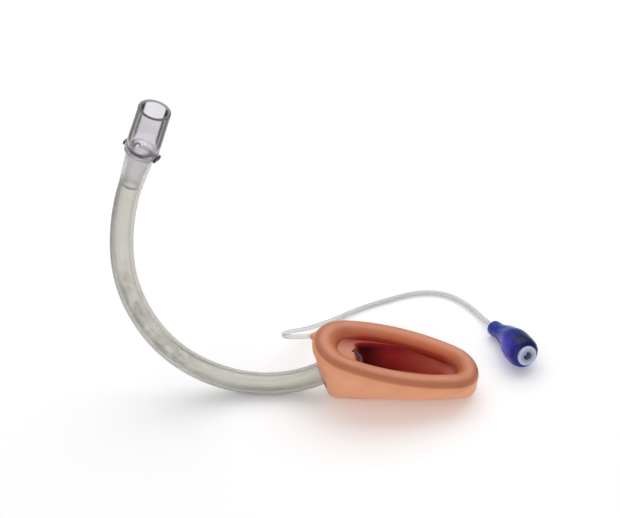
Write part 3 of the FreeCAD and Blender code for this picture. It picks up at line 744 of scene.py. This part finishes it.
def pouch_mesh():
    """The pouch's profile turned about its axis, its film drawn in and out, closed in the pocket."""
    side = PILOT_AXIS.cross(Vector((0.0, 0.0, 1.0))).normalized()
    up = side.cross(PILOT_AXIS)
    spots, faces = [], []
    run = smooth_run(POUCH_PROFILE, PROFILE_STEPS)
    outer_end = max(range(len(run)), key=lambda i: run[i][0])
    for index, (along, radius) in enumerate(run):
        film = index <= outer_end and radius > FILM_RADIUS
        for step in range(ROUND_STEPS):
            turn = 2 * math.pi * step / ROUND_STEPS
            swell = 0.0
            if film:
                weld = bell(math.sin(turn), 0.0, WELD_WIDTH * POUCH_RADIUS / radius)
                weld *= within((along - WELD_START) / WELD_RISE) * within((WELD_END - along) / WELD_FALL)
                swell += WELD_HEIGHT * weld
                swell += PLEAT_DEPTH * math.cos(PLEATS * turn) * bell(along, *NECK_PLEATS)
                swell += 0.5 * PLEAT_DEPTH * math.cos(PLEATS * turn + 1.0) * bell(along, *END_PLEATS)
                back = (side * math.cos(turn) + up * math.sin(turn)).dot(PILOT_BACK)
                swell += SHOULDER_SWELL * max(0.0, back) * bell(along, *SHOULDER)
                swell += BACK_SWELL * max(0.0, back) * bell(along, *BACK)
                swell -= FRONT_DIP * max(0.0, -back) * bell(along, *FRONT)
            reach = radius + swell
            spots.append(
                NECK_END
                + (PILOT_AXIS * along + side * (reach * math.cos(turn)) + up * (reach * math.sin(turn))) * MM
            )
    rows = len(run) - 1
    for row in range(rows):
        for step in range(ROUND_STEPS):
            beside = (step + 1) % ROUND_STEPS
            first, second = row * ROUND_STEPS, (row + 1) * ROUND_STEPS
            faces.append((first + step, first + beside, second + beside, second + step))
    faces.append(tuple(range(ROUND_STEPS)))
    mesh = bpy.data.meshes.new("pilot_pouch")
    mesh.from_pydata(spots, [], faces)
    work = bmesh.new()
    work.from_mesh(mesh)
    bmesh.ops.remove_doubles(work, verts=work.verts, dist=1e-6)
    bmesh.ops.recalc_face_normals(work, faces=work.faces)
    work.to_mesh(mesh)
    work.free()
    return mesh


pouch = add_piece("pilot_pouch", pouch_mesh(), "pilot_balloon", blue.material)

# Valve spring: the node's coil as a piece of its own, on its own mesh

spring_mesh = nodes["valve_spring"].data.copy()
spring = add_piece("valve_coil", spring_mesh, "valve_spring", steel.material, smooth=False)
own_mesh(spring)

# Inflation line, from the mask's port to the pilot balloon's neck

LINE_ROUTE = [
    (5.1328, 7.0, 29.5),
    (-5.4, 8.0, 27.8),
    (-7.6, 17.5, 22.0),
    (-3.6, 28.5, 14.2),
    (3.6, 39.5, 6.4),
    (14.6, 50.0, 1.9),
    (29.5, 61.0, 1.3),
    (46.0, 69.0, 1.3),
    (61.2, 74.6, 1.3),
    (74.8, 72.6, 1.4),
    (84.8, 63.2, 1.7),
    (92.156, 51.713, 1.9005),
    (96.0, 43.8, 3.8),
]
LINE_RADIUS = 1.1 * MM

line_data = bpy.data.curves.new("inflation_tubing", "CURVE")
line_data.dimensions = "3D"
line_data.resolution_u = 12
line_data.bevel_depth = LINE_RADIUS
line_data.bevel_resolution = 6
line_data.use_fill_caps = True
spline = line_data.splines.new("NURBS")
spline.points.add(len(LINE_ROUTE) - 1)
for point, place in zip(spline.points, LINE_ROUTE):
    point.co = (*(c * MM for c in place), 1.0)
spline.order_u = 3
spline.use_endpoint_u = True
line = bpy.data.objects.new("inflation_tubing", line_data)
bpy.context.scene.collection.objects.link(line)
paint(line, line_wall.material)
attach(line, "airway")
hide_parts("inflation_line")

# Table, light and camera

FLOOR_HALF = 3.0
FLOOR_GAP = 0.00005
floor_mesh = bpy.data.meshes.new("table")
floor_mesh.from_pydata(
    [(x * FLOOR_HALF, y * FLOOR_HALF, 0.0) for x, y in ((-1, -1), (1, -1), (1, 1), (-1, 1))],
    [],
    [(0, 1, 2, 3)],
)
floor = bpy.data.objects.new("table", floor_mesh)
floor.location.z = -FLOOR_GAP
bpy.context.scene.collection.objects.link(floor)
table = Paint("table_white", Roughness=0.55, Specular_IOR_Level=0.25)
table.main.inputs["Base Color"].default_value = (0.93, 0.93, 0.935, 1.0)
table.main.inputs["Emission Color"].default_value = (1.0, 1.0, 1.0, 1.0)
table.main.inputs["Emission Strength"].default_value = 0.16
paint(floor, table.material)

world = bpy.data.worlds.new("studio")
bpy.context.scene.world = world
world.use_nodes = True
tree = world.node_tree
background = tree.nodes["Background"]
coordinate = tree.nodes.new("ShaderNodeTexCoord")
split = tree.nodes.new("ShaderNodeSeparateXYZ")
sky = tree.nodes.new("ShaderNodeValToRGB")
low, high = sky.color_ramp.elements
low.position = 0.02
low.color = (0.1, 0.1, 0.105, 1.0)
high.position = 0.55
high.color = (1.0, 1.0, 1.0, 1.0)
tree.links.new(coordinate.outputs["Generated"], split.inputs["Vector"])
tree.links.new(split.outputs["Z"], sky.inputs["Fac"])
tree.links.new(sky.outputs["Color"], background.inputs["Color"])
background.inputs["Strength"].default_value = 0.6


def softbox(name, place, target, size, power):
    """A white rectangular light at a place, turned to a target."""
    lamp = bpy.data.lights.new(name, "AREA")
    lamp.shape = "RECTANGLE"
    lamp.size = size[0]
    lamp.size_y = size[1]
    lamp.energy = power
    light = bpy.data.objects.new(name, lamp)
    light.location = place
    way = Vector(target) - Vector(place)
    light.rotation_euler = way.to_track_quat("-Z", "Y").to_euler()
    bpy.context.scene.collection.objects.link(light)


softbox("key_above_behind", (0.05, 0.5, 0.95), (0.01, 0.02, 0.02), (1.5, 1.1), 6.6)
softbox("fill_front_low", (0.1, -1.3, 0.35), (0.03, 0.0, 0.02), (1.2, 0.5), 3.5)

TARGET = Vector((0.00574, 0.0, 0.0822))
DISTANCE = 1.3
ELEVATION = math.radians(38.8)
FOCAL_LENGTH = 163.42
lens = bpy.data.cameras.new("camera")
lens.sensor_width = 36.0
lens.lens = FOCAL_LENGTH
lens.clip_start = 0.01
lens.clip_end = 20.0
camera = bpy.data.objects.new("camera", lens)
camera.location = TARGET + DISTANCE * Vector((0.0, -math.cos(ELEVATION), math.sin(ELEVATION)))
camera.rotation_euler = (math.pi / 2 - ELEVATION, 0.0, 0.0)
bpy.context.scene.collection.objects.link(camera)
bpy.context.scene.camera = camera

view = bpy.context.scene.view_settings
view.view_transform = "Standard"
view.look = "None"
view.exposure = 0.0
view.gamma = 1.0
